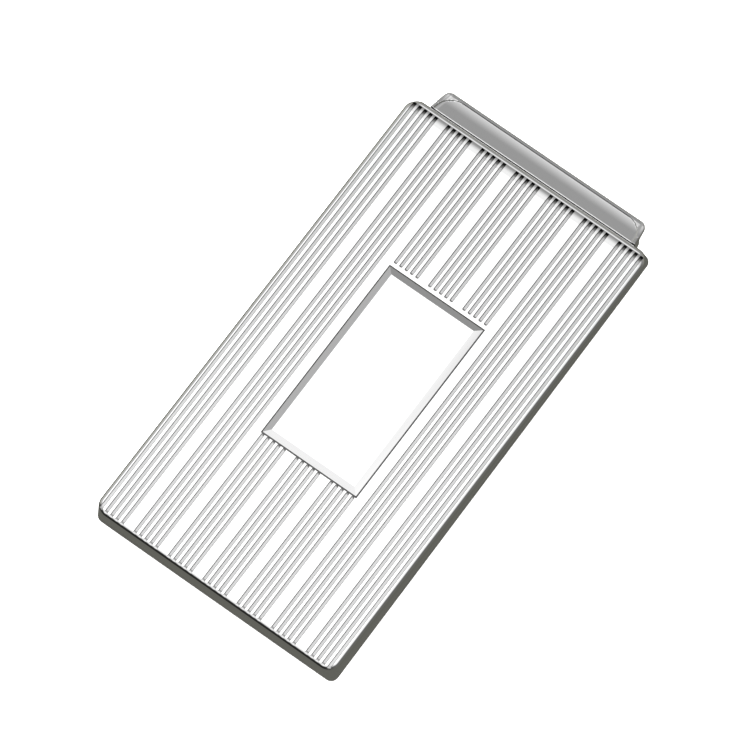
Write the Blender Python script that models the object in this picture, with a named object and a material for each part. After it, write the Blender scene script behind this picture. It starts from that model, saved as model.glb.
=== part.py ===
"""Spring-hinged money clip, lying closed on its back.

Frame: +Z out of the engraved front, +Y from the hinge towards the finger lip, X across.
The origin is at the centre of the base of the closed clip's bounding box.
"""

import math

import bmesh
import bpy
from mathutils import Matrix, Vector

MM = 0.001

# ---- Front cover: a pressed tray whose rim is deepest at the hinge end ----
COVER_WIDTH = 28.6 * MM
COVER_LENGTH = 52.0 * MM
OVERALL_LENGTH = 54.6 * MM
FACE_Z = 4.8 * MM
SHEET = 0.6 * MM
CORNER_RADIUS = 1.4 * MM
EDGE_RADIUS = 0.45 * MM
RIM_DEPTH_HINGE = 3.2 * MM
RIM_DEPTH_FREE = 1.5 * MM

# ---- Engraving panel on the face ----
PANEL_WIDTH = 11.2 * MM
PANEL_LENGTH = 20.7 * MM
PANEL_TOP_Z = 5.1 * MM
PANEL_CHAMFER = 0.8 * MM
PANEL_EDGE = 0.05 * MM

# ---- Gap left between parts that are fixed to each other ----
JOINT_GAP = 0.05 * MM

# ---- Liner plate inside the cover ----
LINER_BOTTOM_Z = 3.45 * MM
LINER_THICKNESS = 0.5 * MM
LINER_CLEARANCE = 0.15 * MM

# ---- Sprung arm ----
ARM_WIDTH = 26.4 * MM
ARM_THICKNESS = 0.8 * MM
HEEL_LENGTH = 2.3 * MM
BEND_LENGTH = 14.0 * MM
CREST_BACK = 5.0 * MM
CREST_Z = 3.25 * MM
UNDER_RIM_Z = 3.08 * MM
HEEL_CORNER_RADIUS = 0.8 * MM

# ---- Finger lip: the arm's end, stepped up outside the cover's free end ----
LIP_GAP = 0.15 * MM
LIP_ROOT_Z = 4.3 * MM
LIP_ROOT_WIDTH = 24.6 * MM
LIP_TIP_WIDTH = 23.8 * MM
LIP_SLOPE = math.radians(17)
LIP_BAND_SLOPE = math.radians(12)
LIP_BAND_WIDTH = 0.8 * MM
LIP_RIM_WIDTH = 0.4 * MM
LIP_RIM_STEP = 0.12 * MM
LIP_EDGE_RADIUS = 0.2 * MM
STEP_RADIUS = 0.3 * MM
SHOULDER_RADIUS = 0.5 * MM
TIP_RADIUS = 0.7 * MM

# ---- Hinge ----
PIN_FROM_END = 4.0 * MM
PIN_Z = 1.95 * MM
PIN_RADIUS = 0.45 * MM
RUNNING_CLEARANCE = 0.05 * MM
ARM_EAR_RADIUS = 1.15 * MM
ARM_EAR_THICKNESS = 0.8 * MM
ARM_EAR_FOOT = 1.84 * MM
BRACKET_WIDTH = 24.0 * MM
BRACKET_EAR_THICKNESS = 0.8 * MM
BRACKET_EAR_RADIUS = 0.95 * MM
BRACKET_BASE_BOTTOM_Z = 3.0 * MM
BRACKET_BASE_TOP_Z = 3.35 * MM
BRACKET_EAR_ROOT_Z = 3.15 * MM
BRACKET_BACK = 2.2 * MM
BRACKET_FRONT = 4.6 * MM
PIN_HEAD_RADIUS = 0.8 * MM
PIN_HEAD_THICKNESS = 0.25 * MM
WASHER_THICKNESS = 0.2 * MM
WASHER_RADIUS = 1.0 * MM
SLEEVE_LENGTH = 14.6 * MM
SLEEVE_RADIUS = 0.8 * MM

# ---- Torsion springs ----
WIRE_RADIUS = 0.2 * MM
COIL_RADIUS = 0.75 * MM
COIL_TURNS = 6
COIL_PITCH = 0.46 * MM
COIL_START_X = 7.8 * MM
HEEL_LEG = 1.9 * MM
FIXED_LEG_Y = 4.4 * MM
FIXED_LEG_Z = 0.74 * MM

# ---- Rivets ----
BRACKET_RIVET_X = 4.0 * MM
BRACKET_RIVET_Y = 2.9 * MM
RIVET_HEAD_RADIUS = 1.0 * MM
RIVET_HEAD_THICKNESS = 0.22 * MM
RIVET_HEAD_FLAT = 0.7 * MM
RIVET_SHANK_RADIUS = 0.5 * MM
RIVET_HOLE_CLEARANCE = 0.1 * MM
LINER_RIVET_X = 10.6 * MM
LINER_RIVET_FREE_INSET = 4.2 * MM
LINER_RIVET_HINGE_INSET = 12.0 * MM

# ---- Worked out from the driving dimensions ----
HINGE_END = -OVERALL_LENGTH / 2
LIP_END = OVERALL_LENGTH / 2
COVER_END = HINGE_END + COVER_LENGTH
COVER_MIDDLE = (HINGE_END + COVER_END) / 2
PIN_Y = HINGE_END + PIN_FROM_END
PIVOT = Vector((0.0, PIN_Y, PIN_Z))
INNER_FACE_Z = FACE_Z - SHEET
LINER_TOP_Z = LINER_BOTTOM_Z + LINER_THICKNESS
HEEL_Y = PIN_Y - HEEL_LENGTH
CREST_Y = COVER_END - CREST_BACK
BEND_START_Y = CREST_Y - BEND_LENGTH

ROUND_STEPS = 24
CORNER_STEPS = 6
EDGE_STEPS = 4
COIL_TURN_STEPS = 14
SMOOTH_ANGLE = math.radians(35)
MERGE = 1e-7


def clear_scene():
    for obj in list(bpy.data.objects):
        bpy.data.objects.remove(obj, do_unlink=True)


def make_material(name, colour, metallic, roughness):
    material = bpy.data.materials.new(name)
    material.use_nodes = True
    shader = material.node_tree.nodes["Principled BSDF"]
    shader.inputs["Base Color"].default_value = (*colour, 1.0)
    shader.inputs["Metallic"].default_value = metallic
    shader.inputs["Roughness"].default_value = roughness
    return material


def add_mesh_object(name, bm, material, parent=None):
    """Turns a finished bmesh, in world coordinates, into an object whose origin is its parent's."""
    bmesh.ops.recalc_face_normals(bm, faces=bm.faces)
    if parent:
        bmesh.ops.translate(bm, vec=-parent.location, verts=bm.verts)
    mesh = bpy.data.meshes.new(name)
    bm.to_mesh(mesh)
    bm.free()
    mesh.materials.append(material)
    mesh.shade_smooth()
    mesh.set_sharp_from_angle(angle=SMOOTH_ANGLE)
    obj = bpy.data.objects.new(name, mesh)
    obj.parent = parent
    bpy.context.collection.objects.link(obj)
    return obj


def add_boolean(obj, cutter, operation):
    """The cutter is a guide: it stays in the file as a wire and isn't rendered."""
    cutter.hide_render = True
    cutter.display_type = "WIRE"
    modifier = obj.modifiers.new(f"{operation.lower()} {cutter.name}", "BOOLEAN")
    modifier.operation = operation
    modifier.object = cutter


def extrude_outline(outline, direction):
    """A prism from a closed outline of points, along a vector."""
    bm = bmesh.new()
    face = bm.faces.new([bm.verts.new(point) for point in outline])
    swept = bmesh.ops.extrude_face_region(bm, geom=[face])
    top = [item for item in swept["geom"] if isinstance(item, bmesh.types.BMVert)]
    bmesh.ops.translate(bm, vec=direction, verts=top)
    return bm


def revolve(profile, centre, axis, steps=ROUND_STEPS):
    """A turned solid: profile holds (distance along the axis, radius), both ends on the axis or joined up."""
    side = Vector((0.0, 1.0, 0.0)) if axis.x else Vector((1.0, 0.0, 0.0))
    bm = bmesh.new()
    verts = [bm.verts.new(centre + axis * along + side * radius) for along, radius in profile]
    edges = [bm.edges.new(pair) for pair in zip(verts, verts[1:])]
    if profile[0][1] > 0:
        edges.append(bm.edges.new((verts[-1], verts[0])))
    bmesh.ops.spin(
        bm, geom=verts + edges, cent=centre, axis=axis, angle=math.tau, steps=steps, use_merge=True
    )
    bmesh.ops.remove_doubles(bm, verts=bm.verts, dist=MERGE)
    return bm


def ring(start, end, inner, outer, centre, axis):
    return revolve([(start, inner), (start, outer), (end, outer), (end, inner)], centre, axis)


def arc(centre, radius, start, end, steps=CORNER_STEPS):
    """Points (u, v) round a centre, from one angle to another."""
    points = []
    for step in range(steps + 1):
        angle = start + (end - start) * step / steps
        points.append((centre[0] + radius * math.cos(angle), centre[1] + radius * math.sin(angle)))
    return points


def rim_edge_z(y):
    """Height of the rim's lower edge, which slopes from the hinge end to the free end."""
    share = (y - HINGE_END) / COVER_LENGTH
    return FACE_Z - RIM_DEPTH_HINGE + share * (RIM_DEPTH_HINGE - RIM_DEPTH_FREE)


def build_front_cover(material):
    bm = bmesh.new()
    size = Matrix.Diagonal((COVER_WIDTH, COVER_LENGTH, RIM_DEPTH_HINGE, 1.0))
    place = Matrix.Translation((0.0, COVER_MIDDLE, FACE_Z - RIM_DEPTH_HINGE / 2))
    bmesh.ops.create_cube(bm, size=1.0, matrix=place @ size)
    uprights = [e for e in bm.edges if abs(e.verts[0].co.z - e.verts[1].co.z) > MM]
    bmesh.ops.bevel(
        bm, geom=uprights, offset=CORNER_RADIUS, segments=CORNER_STEPS, profile=0.5,
        affect="EDGES", material=-1,
    )
    front_edges = [e for e in bm.edges if min(v.co.z for v in e.verts) > FACE_Z - MERGE]
    bmesh.ops.bevel(
        bm, geom=front_edges, offset=EDGE_RADIUS, segments=EDGE_STEPS, profile=0.5,
        affect="EDGES", material=-1,
    )
    underside = min(bm.faces, key=lambda f: f.calc_center_median().z)
    bmesh.ops.inset_region(bm, faces=[underside], thickness=SHEET, use_even_offset=True)
    swept = bmesh.ops.extrude_face_region(bm, geom=[underside])
    bmesh.ops.delete(bm, geom=[underside], context="FACES_ONLY")
    for item in swept["geom"]:
        if isinstance(item, bmesh.types.BMVert):
            item.co.z = INNER_FACE_Z
    for vert in bm.verts:
        if vert.co.z < FACE_Z - RIM_DEPTH_HINGE + MERGE:
            vert.co.z = rim_edge_z(vert.co.y)
    return add_mesh_object("front_cover", bm, material)


def build_engraving_panel(material):
    bm = bmesh.new()
    height = PANEL_TOP_Z - FACE_Z - JOINT_GAP
    size = Matrix.Diagonal((PANEL_WIDTH, PANEL_LENGTH, height, 1.0))
    place = Matrix.Translation((0.0, COVER_MIDDLE, PANEL_TOP_Z - height / 2))
    bmesh.ops.create_cube(bm, size=1.0, matrix=place @ size)
    top = max(bm.faces, key=lambda f: f.calc_center_median().z)
    bmesh.ops.inset_region(bm, faces=[top], thickness=PANEL_CHAMFER, use_even_offset=True)
    for vert in bm.verts:
        if vert.co.z > PANEL_TOP_Z - MERGE and vert not in top.verts:
            vert.co.z -= height - PANEL_EDGE
    return add_mesh_object("engraving_panel", bm, material)


def liner_rivet_places():
    """Name ending and position of each rivet that holds the liner to the cover."""
    rows = (
        ("free", COVER_END - LINER_RIVET_FREE_INSET),
        ("hinge", HINGE_END + LINER_RIVET_HINGE_INSET),
    )
    for row, y in rows:
        for side, x in (("left", -LINER_RIVET_X), ("right", LINER_RIVET_X)):
            yield f"{row}_{side}", Vector((x, y, LINER_BOTTOM_Z))


def bracket_rivet_places():
    for side, x in (("left", -BRACKET_RIVET_X), ("right", BRACKET_RIVET_X)):
        yield side, Vector((x, PIN_Y + BRACKET_RIVET_Y, BRACKET_BASE_BOTTOM_Z))


def build_liner_plate(material):
    bm = bmesh.new()
    inset = SHEET + LINER_CLEARANCE
    size = Matrix.Diagonal(
        (COVER_WIDTH - 2 * inset, COVER_LENGTH - 2 * inset, LINER_THICKNESS, 1.0)
    )
    place = Matrix.Translation((0.0, COVER_MIDDLE, LINER_BOTTOM_Z + LINER_THICKNESS / 2))
    bmesh.ops.create_cube(bm, size=1.0, matrix=place @ size)
    uprights = [e for e in bm.edges if abs(e.verts[0].co.z - e.verts[1].co.z) > LINER_THICKNESS / 2]
    bmesh.ops.bevel(
        bm, geom=uprights, offset=CORNER_RADIUS - SHEET, segments=CORNER_STEPS, profile=0.5,
        affect="EDGES", material=-1,
    )
    liner = add_mesh_object("liner_plate", bm, material)
    up = Vector((0.0, 0.0, 1.0))
    wide = RIVET_HEAD_RADIUS + RIVET_HOLE_CLEARANCE
    narrow = RIVET_SHANK_RADIUS + RIVET_HOLE_CLEARANCE
    depth = LINER_THICKNESS + SHEET / 2
    sink = RIVET_HEAD_THICKNESS
    countersink = [(-sink, 0), (-sink, wide), (0, wide), (sink, narrow), (depth, narrow), (depth, 0)]
    for ending, place in liner_rivet_places():
        hole = add_mesh_object(f"cut_liner_{ending}", revolve(countersink, place, up), material)
        add_boolean(liner, hole, "DIFFERENCE")
    for side, place in bracket_rivet_places():
        reach = LINER_TOP_Z - BRACKET_BASE_BOTTOM_Z
        straight = [(-sink, 0), (-sink, narrow), (reach + sink, narrow), (reach + sink, 0)]
        hole = add_mesh_object(f"cut_liner_{side}", revolve(straight, place, up), material)
        add_boolean(liner, hole, "DIFFERENCE")


def build_liner_rivets(material):
    """Countersunk rivets, flush with the liner, that end just under the cover's face."""
    reach = INNER_FACE_Z - LINER_BOTTOM_Z - JOINT_GAP
    profile = [
        (0, 0),
        (0, RIVET_HEAD_RADIUS),
        (RIVET_HEAD_THICKNESS, RIVET_SHANK_RADIUS),
        (reach, RIVET_SHANK_RADIUS),
        (reach, 0),
    ]
    up = Vector((0.0, 0.0, 1.0))
    for ending, place in liner_rivet_places():
        add_mesh_object(f"liner_rivet_{ending}", revolve(profile, place, up), material)


def build_bracket_rivets(material):
    """Flat-headed rivets through the bracket's base and the liner, peened flush on top."""
    reach = LINER_TOP_Z - BRACKET_BASE_BOTTOM_Z
    profile = [
        (-JOINT_GAP - RIVET_HEAD_THICKNESS, 0),
        (-JOINT_GAP - RIVET_HEAD_THICKNESS, RIVET_HEAD_FLAT),
        (-JOINT_GAP - RIVET_HEAD_THICKNESS / 2, RIVET_HEAD_RADIUS),
        (-JOINT_GAP, RIVET_HEAD_RADIUS),
        (-JOINT_GAP, RIVET_SHANK_RADIUS),
        (reach, RIVET_SHANK_RADIUS),
        (reach, 0),
    ]
    up = Vector((0.0, 0.0, 1.0))
    for side, place in bracket_rivet_places():
        add_mesh_object(f"bracket_rivet_{side}", revolve(profile, place, up), material)


def bracket_ear_outline(x):
    """Side view of one bracket ear: a round end about the pin, straight up to the base."""
    root_z = BRACKET_EAR_ROOT_Z - PIN_Z
    points = [(BRACKET_EAR_RADIUS, root_z)]
    points += [(-u, v) for u, v in arc((0, 0), BRACKET_EAR_RADIUS, math.pi, math.tau, 2 * CORNER_STEPS)]
    points.append((-BRACKET_EAR_RADIUS, root_z))
    return [PIVOT + Vector((x, u, v)) for u, v in points]


def pin_hole(name, radius, material, parent=None):
    along = Vector((1.0, 0.0, 0.0))
    half = COVER_WIDTH
    bm = revolve([(-half, 0), (-half, radius), (half, radius), (half, 0)], PIVOT, along)
    return add_mesh_object(name, bm, material, parent)


def build_hinge_bracket(material):
    half = BRACKET_WIDTH / 2
    back = PIN_Y - BRACKET_BACK
    front = PIN_Y + BRACKET_FRONT
    outline = [
        Vector((x, y, BRACKET_BASE_BOTTOM_Z))
        for x, y in ((-half, back), (half, back), (half, front), (-half, front))
    ]
    thickness = Vector((0.0, 0.0, BRACKET_BASE_TOP_Z - BRACKET_BASE_BOTTOM_Z))
    bracket = add_mesh_object("hinge_bracket", extrude_outline(outline, thickness), material)
    for side, x in (("left", -half), ("right", half - BRACKET_EAR_THICKNESS)):
        bm = extrude_outline(bracket_ear_outline(x), Vector((BRACKET_EAR_THICKNESS, 0.0, 0.0)))
        add_boolean(bracket, add_mesh_object(f"join_bracket_{side}", bm, material), "UNION")
    hole = pin_hole("cut_bracket_pin", PIN_RADIUS + RUNNING_CLEARANCE, material)
    add_boolean(bracket, hole, "DIFFERENCE")
    narrow = RIVET_SHANK_RADIUS + RIVET_HOLE_CLEARANCE
    sink = RIVET_HEAD_THICKNESS
    reach = BRACKET_BASE_TOP_Z - BRACKET_BASE_BOTTOM_Z + sink
    straight = [(-sink, 0), (-sink, narrow), (reach, narrow), (reach, 0)]
    up = Vector((0.0, 0.0, 1.0))
    for side, place in bracket_rivet_places():
        hole = add_mesh_object(f"cut_bracket_{side}", revolve(straight, place, up), material)
        add_boolean(bracket, hole, "DIFFERENCE")


def build_pin_group(pin_material, washer_material):
    """Pin with a head at its left end, a retaining ring at its right, a sleeve and two washers."""
    along = Vector((1.0, 0.0, 0.0))
    ear_outside = ARM_WIDTH / 2
    head = ear_outside + JOINT_GAP
    end = head + PIN_HEAD_THICKNESS
    profile = [
        (-end, 0),
        (-end, PIN_HEAD_RADIUS),
        (-head, PIN_HEAD_RADIUS),
        (-head, PIN_RADIUS),
        (end, PIN_RADIUS),
        (end, 0),
    ]
    add_mesh_object("hinge_pin", revolve(profile, PIVOT, along), pin_material)
    bore = PIN_RADIUS + RUNNING_CLEARANCE
    retainer = ring(head, end, bore, PIN_HEAD_RADIUS, PIVOT, along)
    add_mesh_object("pin_retainer", retainer, pin_material)
    half = SLEEVE_LENGTH / 2
    add_mesh_object("hinge_sleeve", ring(-half, half, bore, SLEEVE_RADIUS, PIVOT, along), washer_material)
    middle = (BRACKET_WIDTH / 2 + ear_outside - ARM_EAR_THICKNESS) / 2
    start = middle - WASHER_THICKNESS / 2
    for side, sign in (("left", -1), ("right", 1)):
        low, high = sorted((sign * start, sign * (start + WASHER_THICKNESS)))
        washer = ring(low, high, bore, WASHER_RADIUS, PIVOT, along)
        add_mesh_object(f"thrust_washer_{side}", washer, washer_material)


def eased(start, end, share):
    """A value that leaves one level and meets the next with no slope."""
    return start + (end - start) * (1 - math.cos(math.pi * share)) / 2


def arm_upper_line():
    """Side view of the arm's inner surface, from heel to lip, as (y, z)."""
    line = [(HEEL_Y, ARM_THICKNESS), (BEND_START_Y, ARM_THICKNESS)]
    bend_steps = 14
    for step in range(1, bend_steps + 1):
        share = step / bend_steps
        line.append((BEND_START_Y + BEND_LENGTH * share, eased(ARM_THICKNESS, CREST_Z, share)))
    fall = CREST_BACK - SHEET
    fall_steps = 5
    for step in range(1, fall_steps + 1):
        share = step / fall_steps
        line.append((CREST_Y + fall * share, eased(CREST_Z, UNDER_RIM_Z, share)))
    return line


def lip_upper_line():
    """Side view of the lip's top, from its upright: a slope, an easier band, a step and the rim."""
    up_y = COVER_END + LIP_GAP
    quarter = math.pi / 2
    line = [(up_y, UNDER_RIM_Z)]
    edge_centre = (up_y + LIP_EDGE_RADIUS, LIP_ROOT_Z - LIP_EDGE_RADIUS)
    line += arc(edge_centre, LIP_EDGE_RADIUS, math.pi, quarter - LIP_SLOPE, EDGE_STEPS)
    rim_inner_y = LIP_END - LIP_RIM_WIDTH
    band_y = rim_inner_y - LIP_BAND_WIDTH
    y, z = line[-1]
    z -= (band_y - y) * math.tan(LIP_SLOPE)
    line.append((band_y, z))
    band_steps = 4
    for step in range(1, band_steps + 1):
        slope = LIP_SLOPE + (LIP_BAND_SLOPE - LIP_SLOPE) * step / band_steps
        z -= LIP_BAND_WIDTH / band_steps * math.tan(slope)
        line.append((band_y + LIP_BAND_WIDTH * step / band_steps, z))
    crest_z = z + LIP_RIM_STEP
    line.append((rim_inner_y + LIP_RIM_STEP / 4, crest_z))
    drop = (LIP_RIM_WIDTH - LIP_EDGE_RADIUS) * math.tan(LIP_SLOPE)
    end_centre = (LIP_END - LIP_EDGE_RADIUS, crest_z - drop - LIP_EDGE_RADIUS)
    line += arc(end_centre, LIP_EDGE_RADIUS, quarter - LIP_SLOPE, 0, EDGE_STEPS)
    return line


def lower_line(upper):
    """The arm's outer surface, one thickness below its inner one, measured square to the sheet."""
    line = []
    for before, here, after in zip(upper, upper[1:], upper[2:]):
        slope = math.atan2(after[1] - before[1], after[0] - before[0])
        line.append((here[0], here[1] - ARM_THICKNESS / math.cos(slope)))
    return line


def arm_side_outline():
    body = arm_upper_line()
    lip = lip_upper_line()
    underside = [(HEEL_Y, 0.0)] + lower_line(body)
    outside_y = COVER_END + LIP_GAP + ARM_THICKNESS
    lip_bottom_z = lip[-1][1] - ARM_THICKNESS / 2
    corner = (outside_y - STEP_RADIUS, UNDER_RIM_Z - ARM_THICKNESS + STEP_RADIUS)
    underside += arc(corner, STEP_RADIUS, -math.pi / 2, 0, EDGE_STEPS)
    under_lip_z = lip_bottom_z + (LIP_END - outside_y) * math.tan(LIP_BAND_SLOPE)
    underside.append((outside_y, under_lip_z - STEP_RADIUS))
    underside.append((outside_y + STEP_RADIUS, under_lip_z - STEP_RADIUS * math.tan(LIP_BAND_SLOPE)))
    underside.append((LIP_END - LIP_EDGE_RADIUS, lip_bottom_z))
    underside.append((LIP_END, lip_bottom_z + LIP_EDGE_RADIUS / 2))
    return body + lip + underside[::-1]


def arm_plan_outline():
    """Half of the arm's outline from above, as (x, y): heel corner, shoulder, tapered lip."""
    half = ARM_WIDTH / 2
    root = LIP_ROOT_WIDTH / 2
    tip = LIP_TIP_WIDTH / 2
    quarter = math.pi / 2
    heel = (half - HEEL_CORNER_RADIUS, HEEL_Y + HEEL_CORNER_RADIUS)
    right = arc(heel, HEEL_CORNER_RADIUS, -quarter, 0)
    shoulder = (root + SHOULDER_RADIUS, COVER_END - SHEET + SHOULDER_RADIUS)
    right.append((half, shoulder[1] - SHOULDER_RADIUS))
    right += arc(shoulder, SHOULDER_RADIUS, -quarter, -math.pi)
    right += arc((tip - TIP_RADIUS, LIP_END - TIP_RADIUS), TIP_RADIUS, 0, quarter)
    return right


def arm_ear_outline(x):
    """Side view of one arm ear: a round end about the pin on a foot sunk into the arm's plate."""
    foot_z = ARM_THICKNESS / 2 - PIN_Z
    points = [(-ARM_EAR_FOOT, foot_z)]
    points += [(-u, v) for u, v in arc((0, 0), ARM_EAR_RADIUS, 0, math.pi, 2 * CORNER_STEPS)]
    points.append((ARM_EAR_FOOT, foot_z))
    return [PIVOT + Vector((x, u, v)) for u, v in points]


def build_clip_arm(material, pivot):
    half = ARM_WIDTH / 2
    side_view = [Vector((-half, y, z)) for y, z in arm_side_outline()]
    bm = extrude_outline(side_view, Vector((ARM_WIDTH, 0.0, 0.0)))
    arm = add_mesh_object("clip_arm", bm, material, pivot)
    right = arm_plan_outline()
    plan = right + [(-x, y) for x, y in reversed(right)]
    outline = [Vector((x, y, -FACE_Z)) for x, y in plan]
    bm = extrude_outline(outline, Vector((0.0, 0.0, 3 * FACE_Z)))
    add_boolean(arm, add_mesh_object("trim_arm_plan", bm, material, pivot), "INTERSECT")
    for side, x in (("left", -half), ("right", half - ARM_EAR_THICKNESS)):
        bm = extrude_outline(arm_ear_outline(x), Vector((ARM_EAR_THICKNESS, 0.0, 0.0)))
        add_boolean(arm, add_mesh_object(f"join_arm_{side}", bm, material, pivot), "UNION")
    hole = pin_hole("cut_arm_pin", PIN_RADIUS + RUNNING_CLEARANCE, material, pivot)
    add_boolean(arm, hole, "DIFFERENCE")


def spring_path(sign):
    """Wire of one torsion spring, about the pin: fixed leg, turns, then the leg on the arm's heel."""
    reach = math.hypot(FIXED_LEG_Y, FIXED_LEG_Z)
    lean = math.atan2(FIXED_LEG_Z, FIXED_LEG_Y)
    start = lean - math.acos(COIL_RADIUS / reach)
    end = -math.pi / 2 - math.tau * COIL_TURNS
    points = [Vector((sign * COIL_START_X, FIXED_LEG_Y, FIXED_LEG_Z))]
    steps = COIL_TURN_STEPS * COIL_TURNS
    for step in range(steps + 1):
        share = step / steps
        angle = start + (end - start) * share
        x = COIL_START_X + COIL_PITCH * COIL_TURNS * share
        points.append(
            Vector((sign * x, COIL_RADIUS * math.cos(angle), COIL_RADIUS * math.sin(angle)))
        )
    points.append(points[-1] + Vector((0.0, -HEEL_LEG, 0.0)))
    return points


def build_torsion_springs(material, pivot):
    for side, sign in (("left", -1), ("right", 1)):
        name = f"torsion_spring_{side}"
        curve = bpy.data.curves.new(name, "CURVE")
        curve.dimensions = "3D"
        curve.bevel_depth = WIRE_RADIUS
        curve.bevel_resolution = 1
        curve.use_fill_caps = True
        path = spring_path(sign)
        spline = curve.splines.new("POLY")
        spline.points.add(len(path) - 1)
        for point, place in zip(spline.points, path):
            point.co = (*place, 1.0)
        curve.materials.append(material)
        obj = bpy.data.objects.new(name, curve)
        obj.parent = pivot
        bpy.context.collection.objects.link(obj)


def main():
    clear_scene()
    plated = make_material("plated_cover", (0.86, 0.87, 0.88), 1.0, 0.06)
    lined = make_material("plated_liner", (0.80, 0.81, 0.82), 1.0, 0.18)
    steel = make_material("spring_steel", (0.62, 0.62, 0.64), 1.0, 0.3)
    brass = make_material("hinge_brass", (0.80, 0.62, 0.30), 1.0, 0.3)
    pivot = bpy.data.objects.new("arm_pivot", None)
    pivot.location = PIVOT
    pivot.empty_display_size = 5 * MM
    bpy.context.collection.objects.link(pivot)

    build_front_cover(plated)
    build_engraving_panel(plated)
    build_liner_plate(lined)
    build_liner_rivets(lined)
    build_hinge_bracket(lined)
    build_bracket_rivets(lined)
    build_pin_group(steel, brass)
    build_clip_arm(plated, pivot)
    build_torsion_springs(steel, pivot)


main()
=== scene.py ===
# %% [markdown]
# # A sprung money clip in polished plate
# A money clip is a pressed cover with a sprung arm behind it. Banknotes slide in from the finger lip
# and two small torsion springs pinch them. The working model comes in as a fixed frame, and every
# piece built here is laid on it by name, so nothing has to be fitted by eye.

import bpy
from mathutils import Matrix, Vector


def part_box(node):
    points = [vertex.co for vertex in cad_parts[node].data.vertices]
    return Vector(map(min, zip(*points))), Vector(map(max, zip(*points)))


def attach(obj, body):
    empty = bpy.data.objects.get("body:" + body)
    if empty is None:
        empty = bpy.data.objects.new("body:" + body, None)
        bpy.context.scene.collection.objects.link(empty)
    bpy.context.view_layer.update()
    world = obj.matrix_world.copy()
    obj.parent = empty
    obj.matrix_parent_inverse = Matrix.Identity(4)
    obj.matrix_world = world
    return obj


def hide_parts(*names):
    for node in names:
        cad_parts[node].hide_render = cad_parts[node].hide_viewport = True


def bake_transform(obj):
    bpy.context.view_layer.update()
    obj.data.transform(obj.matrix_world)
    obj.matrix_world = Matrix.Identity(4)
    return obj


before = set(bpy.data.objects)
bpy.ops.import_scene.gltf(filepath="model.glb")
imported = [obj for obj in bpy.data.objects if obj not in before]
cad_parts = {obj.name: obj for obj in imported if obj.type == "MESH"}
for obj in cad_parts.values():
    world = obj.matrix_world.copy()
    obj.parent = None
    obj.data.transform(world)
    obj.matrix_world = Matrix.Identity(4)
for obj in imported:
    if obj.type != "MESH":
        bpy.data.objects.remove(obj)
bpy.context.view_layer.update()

# %% [markdown]
# ## Units and directions
# Blender works in metres, and a clip is easier to think of in millimetres, so each size is written
# as a number of millimetres times MM. TINY is a distance that no eye could see, for comparing places.

# %% Units and directions
import math

import bmesh
import bpy
from mathutils import Matrix, Vector

MM = 0.001
TINY = 1e-7
ALONG_X = Vector((1.0, 0.0, 0.0))
ALONG_Y = Vector((0.0, 1.0, 0.0))
UP = Vector((0.0, 0.0, 1.0))
print("one millimetre is", MM, "m")

# %% [markdown]
# ## Camera
# The clip lies on its back and is seen from high above its lower right side with a long lens, which
# keeps its long sides nearly parallel. A camera can be turned by angles, but three plain vectors are
# easier to read: where it stands, what it looks at, and which way is up in its picture.

# %% Stand the camera
CAMERA_PLACE = Vector((164.1, -178.1, 735.6)) * MM
CAMERA_AIM = Vector((-0.21, -0.70, 4.8)) * MM
CAMERA_UP = Vector((-0.5546, 0.7714, 0.312))
LENS = 384.0

back = (CAMERA_PLACE - CAMERA_AIM).normalized()
right = CAMERA_UP.cross(back).normalized()
camera_data = bpy.data.cameras.new("studio_camera")
camera_data.lens = LENS
camera_data.sensor_width = 36.0
camera_data.clip_start = 0.01
camera_data.clip_end = 10.0
camera = bpy.data.objects.new("studio_camera", camera_data)
turn = Matrix((right, back.cross(right), back)).transposed().to_4x4()
camera.matrix_world = Matrix.Translation(CAMERA_PLACE) @ turn
bpy.context.scene.collection.objects.link(camera)
bpy.context.scene.camera = camera
bpy.context.scene.view_settings.view_transform = "Standard"
print("camera stands", round((CAMERA_PLACE - CAMERA_AIM).length / MM), "mm away")

# %% [markdown]
# ## Studio
# Polished metal shows the room more than itself. The room here is a light tent: bright overhead,
# a soft grey wall on the left, and dark towards the front, so that each rolled edge picks up its own
# grey. It is painted by direction in the world shader, which gives even light with little grain.

# %% Helper for shader nodes
def add_node(tree, kind, inputs=(), **settings):
    """A node with its settings, and with inputs as (socket, value or output to link)."""
    node = tree.nodes.new(kind)
    for name, value in settings.items():
        setattr(node, name, value)
    for socket, value in inputs:
        if isinstance(value, bpy.types.NodeSocket):
            tree.links.new(value, node.inputs[socket])
        else:
            node.inputs[socket].default_value = value
    return node


def ramp(tree, value, low, high, to_low, to_high, easing="SMOOTHSTEP"):
    """Maps a value from one range to another, held at both ends."""
    node = add_node(
        tree, "ShaderNodeMapRange",
        [("Value", value), ("From Min", low), ("From Max", high), ("To Min", to_low), ("To Max", to_high)],
        interpolation_type=easing,
    )
    return node.outputs["Result"]


def blend_values(tree, share, first, second):
    node = add_node(tree, "ShaderNodeMix", [(0, share), (2, first), (3, second)], data_type="FLOAT")
    return node.outputs[0]


def blend_colours(tree, share, first, second):
    node = add_node(tree, "ShaderNodeMix", [(0, share), (6, first), (7, second)], data_type="RGBA")
    return node.outputs[2]


def math_of(tree, operation, *values):
    node = add_node(tree, "ShaderNodeMath", enumerate(values), operation=operation)
    return node.outputs[0]


# %% Paint the light tent
LEFT_WALL_FRONT, LEFT_WALL_BACK = 0.04, 0.50
RIGHT_WALL = 0.14
END_WALL_FRONT, END_WALL_BACK = 0.02, 0.30
ROOF_MIDDLE, ROOF_BACK = 1.6, 1.0
ROOF_RIGHT_SHARE = 0.72
ROOF_FRONT_SHARE = 0.62
BELOW_TABLE = 0.13
LOW_TINT = (1.0, 1.0, 0.88, 1.0)
HIGH_TINT = (1.0, 1.0, 1.0, 1.0)

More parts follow.
